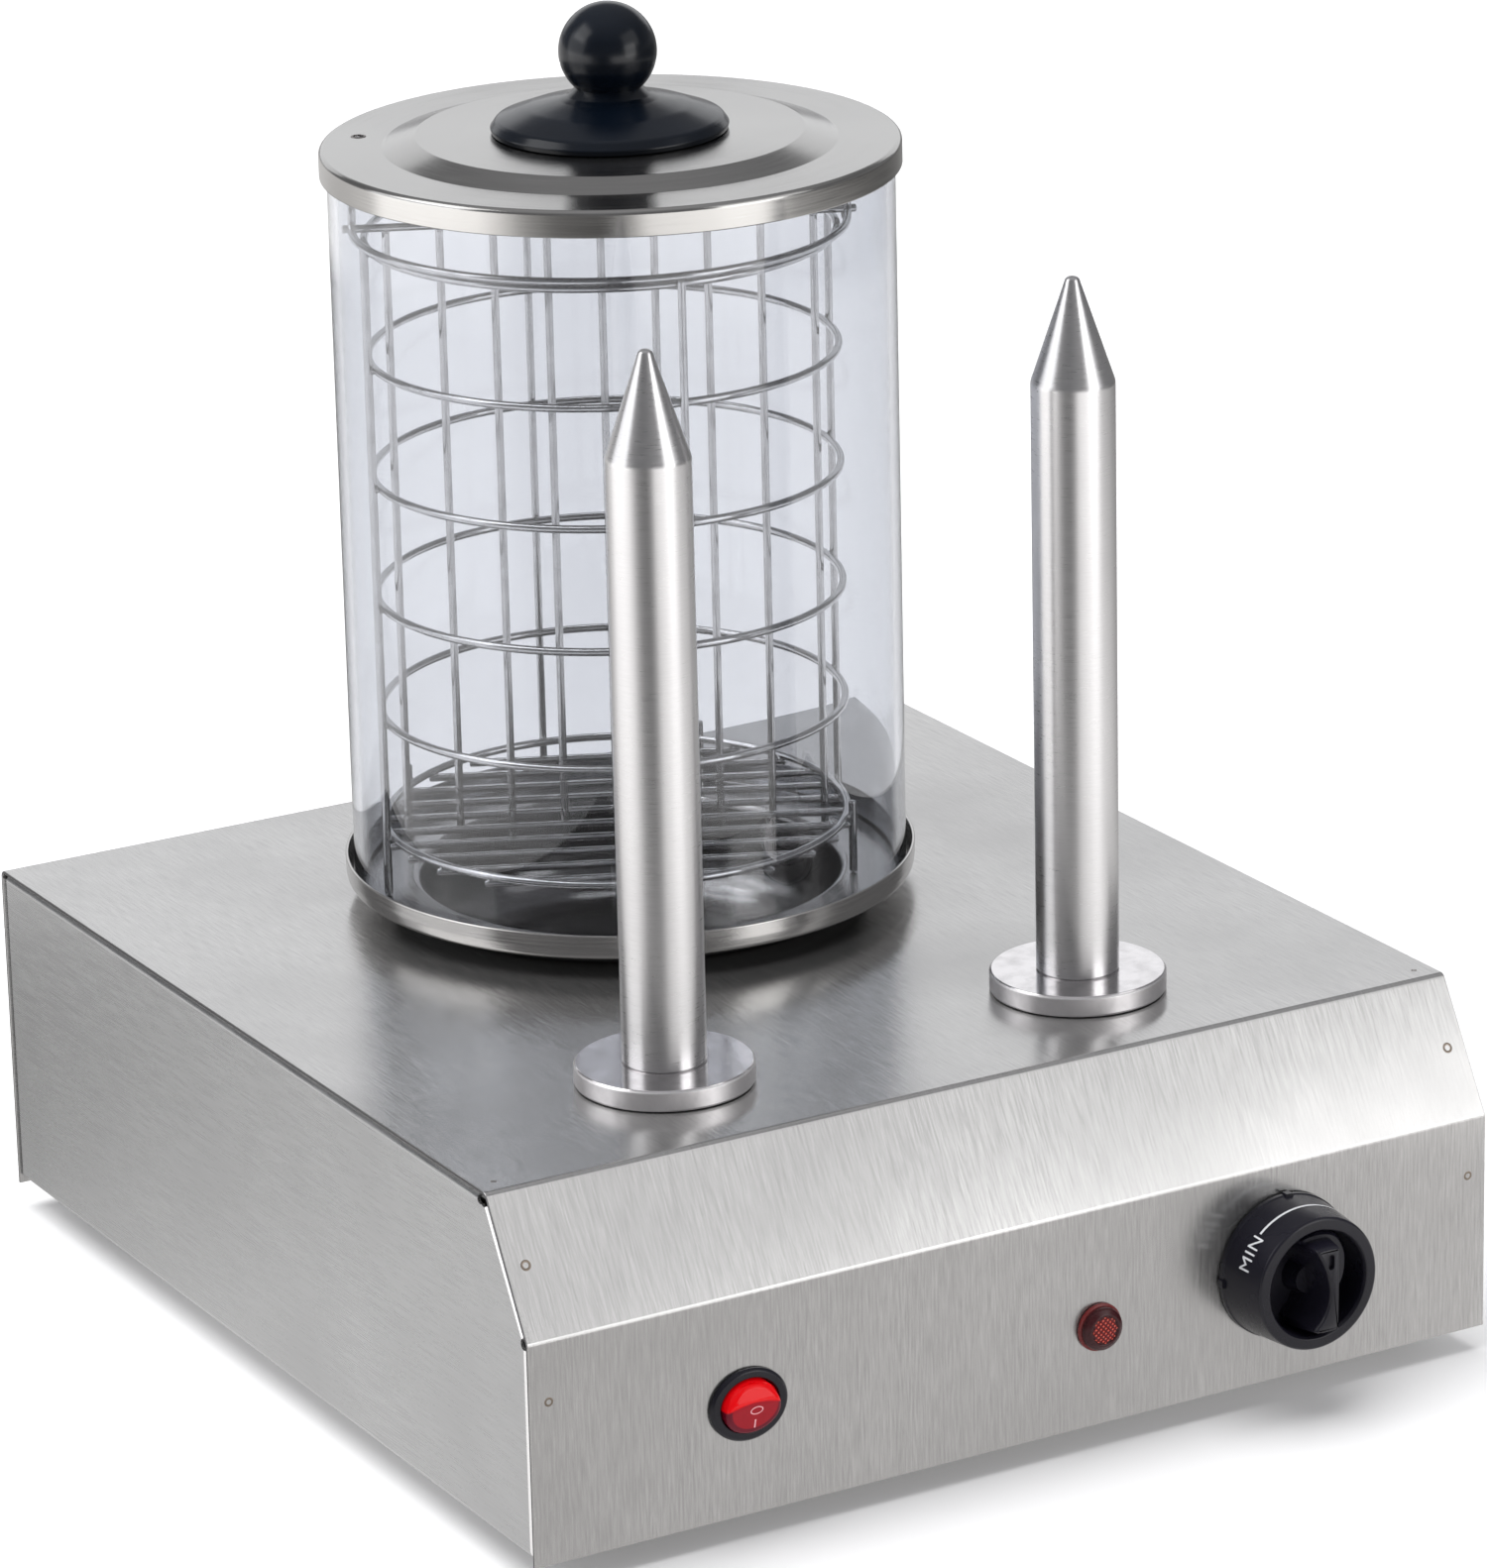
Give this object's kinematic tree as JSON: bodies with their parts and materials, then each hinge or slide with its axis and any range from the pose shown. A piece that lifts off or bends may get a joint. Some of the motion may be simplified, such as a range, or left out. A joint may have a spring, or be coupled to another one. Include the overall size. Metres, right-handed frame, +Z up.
{
  "type": "hot dog steamer",
  "caption": "Countertop hot dog steamer: stainless housing with a slanted control face, lidded glass cylinder with a divided wire basket over a water pan, and heated bun spikes.",
  "frame": {"origin": "centre of the bounding box's base, on the counter", "axes": "+Z up; +X to the right of someone facing the controls; -Y towards them (the control face looks along -Y)"},
  "size_m": [0.34, 0.4032, 0.4127],
  "materials": {
    "brushed_steel": "brushed stainless sheet, bright folded edges",
    "dark_steel": "dull heat-tinted or plain mill steel",
    "polished_steel": "polished stainless wire and turned discs",
    "aluminium": "turned, fine rings",
    "brass": "plain",
    "black_plastic": "satin black",
    "gloss_black": "glossy black bakelite",
    "rubber": "matte black",
    "red_plastic": "translucent red",
    "white_plastic": "off-white moulded or ceramic-filled",
    "clear_glass": "clear, ground ends"
  },
  "bodies": {
    "base": {"housing_shell": "brushed_steel", "side_panel_left": "brushed_steel", "side_panel_right": "brushed_steel", "steam_pan": "brushed_steel", "element_clamp": "brushed_steel", "clamp_nut": "brushed_steel", "thermostat_nut": "brushed_steel", "spike_nut_left": "brushed_steel", "spike_nut_right": "brushed_steel", "foot_screw_1": "brushed_steel", "foot_screw_2": "brushed_steel", "foot_screw_3": "brushed_steel", "foot_screw_4": "brushed_steel", "base_plate": "dark_steel", "heating_element": "dark_steel", "spike_heater_left": "dark_steel", "spike_heater_right": "dark_steel", "spike_collar_left": "polished_steel", "spike_collar_right": "polished_steel", "spike_left": "aluminium", "spike_right": "aluminium", "heat_spreader": "aluminium", "thermostat_bulb": "brass", "switch_housing": "black_plastic", "cable_gland": "black_plastic", "gland_nut": "black_plastic", "pan_gasket": "rubber", "foot_1": "rubber", "foot_2": "rubber", "foot_3": "rubber", "foot_4": "rubber", "lamp_lens": "red_plastic", "thermostat_body": "white_plastic", "terminal_block": "white_plastic", "thermal_cutout": "white_plastic", "lamp_body": "white_plastic"},
    "thermostat_shaft": {"thermostat_knob": "black_plastic", "thermostat_spindle": "brass"},
    "rocker": {"switch_rocker": "red_plastic"},
    "glass": {"glass_cylinder": "clear_glass"},
    "lid": {"lid": "brushed_steel", "lid_knob": "gloss_black", "lid_screw": "brushed_steel"},
    "basket": {"basket_ring_1": "polished_steel", "basket_ring_2": "polished_steel", "basket_ring_3": "polished_steel", "basket_ring_4": "polished_steel", "basket_ring_5": "polished_steel", "basket_floor": "polished_steel", "basket_divider": "polished_steel", "basket_upright_1": "polished_steel", "basket_upright_2": "polished_steel", "basket_upright_3": "polished_steel", "basket_upright_4": "polished_steel", "basket_leg_1": "polished_steel", "basket_leg_2": "polished_steel", "basket_leg_3": "polished_steel"},
    "handle": {"basket_handle": "polished_steel"}
  },
  "joints": [
    {"name": "glass_lift", "type": "slide", "parent": "base", "child": "glass", "axis": [0, 0, 1], "range_m": [0, 0.3]},
    {"name": "lid_lift", "type": "slide", "parent": "glass", "child": "lid", "axis": [0, 0, 1], "range_m": [0, 0.34]},
    {"name": "basket_lift", "type": "slide", "parent": "base", "child": "basket", "axis": [0, 0, 1], "range_m": [0, 0.24]},
    {"name": "handle_fold", "type": "hinge", "parent": "basket", "child": "handle", "pos_m": [-0.0055, 0.0646, 0.3429], "axis": [-0.9063, 0.4226, 0], "range_deg": [0, 92]},
    {"name": "thermostat_turn", "type": "hinge", "parent": "base", "child": "thermostat_shaft", "pos_m": [0.0936, -0.1756, 0.0461], "axis": [0, 1, 0], "range_deg": [0, 270]},
    {"name": "rocker_tilt", "type": "hinge", "parent": "base", "child": "rocker", "pos_m": [-0.0979, -0.1766, 0.0448], "axis": [-1, 0, 0], "range_deg": [0, 28]}
  ],
  "couplings": [
    {"joint": "basket_lift", "follows": "lid_lift", "ratio": 0.7},
    {"joint": "handle_fold", "follows": "lid_lift", "rad_per_m": 4.62}
  ]
}
